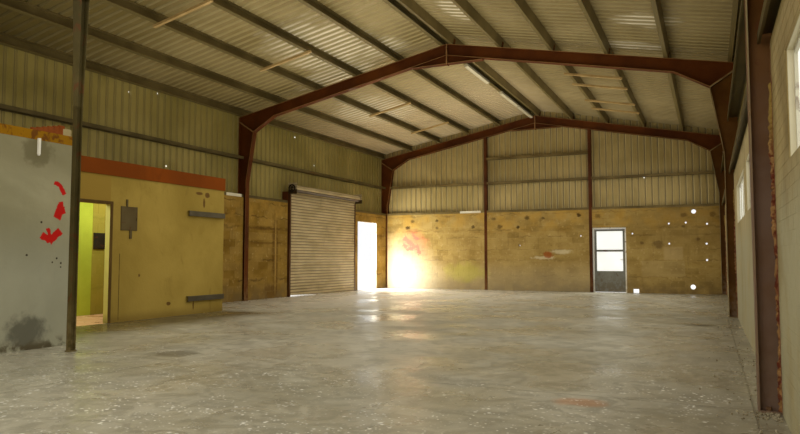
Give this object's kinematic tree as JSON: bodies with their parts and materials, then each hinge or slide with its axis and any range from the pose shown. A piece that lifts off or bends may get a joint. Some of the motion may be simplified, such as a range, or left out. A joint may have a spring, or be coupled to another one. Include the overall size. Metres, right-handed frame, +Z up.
{
  "type": "factory building",
  "caption": "Steel portal frame factory hall with haunched frames, block walls, profiled sheets, strip windows, a roller shutter, a hinged gable door, an office and an open store.",
  "frame": {"origin": "middle of the floor slab's underside", "axes": "+Y along the hall to the gable with the door, +X to the wall with the windows, +Z up"},
  "size_m": [12.138, 25.554, 6.3421],
  "materials": {
    "floor_slab": "worn concrete",
    "left_columns": "red oxide paint",
    "right_columns": "red oxide paint",
    "left_rafters": "red oxide paint",
    "right_rafters": "red oxide paint",
    "wall_posts": "red oxide paint",
    "rafter_prop": "dark grey paint",
    "left_purlins": "galvanised",
    "right_purlins": "galvanised",
    "left_girts": "galvanised",
    "right_girts": "galvanised",
    "gable_girts": "galvanised",
    "left_roof_sheet": "galvanised, weathered",
    "right_roof_sheet": "galvanised, weathered",
    "ridge_cap": "galvanised, weathered",
    "flashings": "galvanised",
    "gutters": "galvanised",
    "left_wall_sheet": "cream coated sheet",
    "right_wall_sheet": "cream coated sheet",
    "gable_sheets": "cream coated sheet",
    "left_block_wall": "rendered blockwork, stained",
    "right_block_wall": "rendered blockwork",
    "gable_block_walls": "blockwork, stained",
    "doorway_heads": "blockwork",
    "side_door_frame": "grey paint",
    "gable_door_jambs": "dark grey paint",
    "gable_door_head": "dark grey paint",
    "gable_door_hinges": "dark grey paint",
    "gable_door_leaf": "grey paint, worn",
    "gable_door_glass": "dusty glass",
    "gable_door_handle": "satin",
    "shutter_curtain": "beige coated slats",
    "shutter_guides": "grey paint",
    "shutter_roll": "beige coated slats",
    "window_frames": "dark grey paint",
    "window_glass": "dusty glass",
    "office_front_wall": "mustard cream paint on plaster",
    "office_end_wall": "mustard cream paint on plaster",
    "office_roof": "bare concrete",
    "office_fascia": "orange brown paint",
    "office_rails": "grey paint",
    "store_front_wall": "grey white plaster",
    "store_end_wall": "grey white plaster",
    "store_beam": "yellow orange paint, worn",
    "light_fittings": "painted trays"
  },
  "bodies": {
    "building": {"floor_slab": "floor_slab", "left_columns": "left_columns", "right_columns": "right_columns", "left_rafters": "left_rafters", "right_rafters": "right_rafters", "wall_posts": "wall_posts", "rafter_prop": "rafter_prop", "left_purlins": "left_purlins", "right_purlins": "right_purlins", "left_girts": "left_girts", "right_girts": "right_girts", "gable_girts": "gable_girts", "left_roof_sheet": "left_roof_sheet", "right_roof_sheet": "right_roof_sheet", "ridge_cap": "ridge_cap", "flashings": "flashings", "gutters": "gutters", "left_wall_sheet": "left_wall_sheet", "right_wall_sheet": "right_wall_sheet", "gable_sheets": "gable_sheets", "left_block_wall": "left_block_wall", "right_block_wall": "right_block_wall", "gable_block_walls": "gable_block_walls", "doorway_heads": "doorway_heads", "side_door_frame": "side_door_frame", "gable_door_jambs": "gable_door_jambs", "gable_door_head": "gable_door_head", "gable_door_hinges": "gable_door_hinges", "shutter_curtain": "shutter_curtain", "shutter_guides": "shutter_guides", "shutter_roll": "shutter_roll", "window_frames": "window_frames", "window_glass": "window_glass", "office_front_wall": "office_front_wall", "office_end_wall": "office_end_wall", "office_roof": "office_roof", "office_fascia": "office_fascia", "office_rails": "office_rails", "store_front_wall": "store_front_wall", "store_end_wall": "store_end_wall", "store_beam": "store_beam", "light_fittings": "light_fittings"},
    "gable_door": {"gable_door_leaf": "gable_door_leaf", "gable_door_glass": "gable_door_glass", "gable_door_handle": "gable_door_handle"}
  },
  "joints": [
    {"name": "gable_door_hinge", "type": "hinge", "parent": "building", "child": "gable_door", "pos_m": [1.8985, 12.69, 0.4], "axis": [0, 0, 1], "range_deg": [0, 95]}
  ]
}
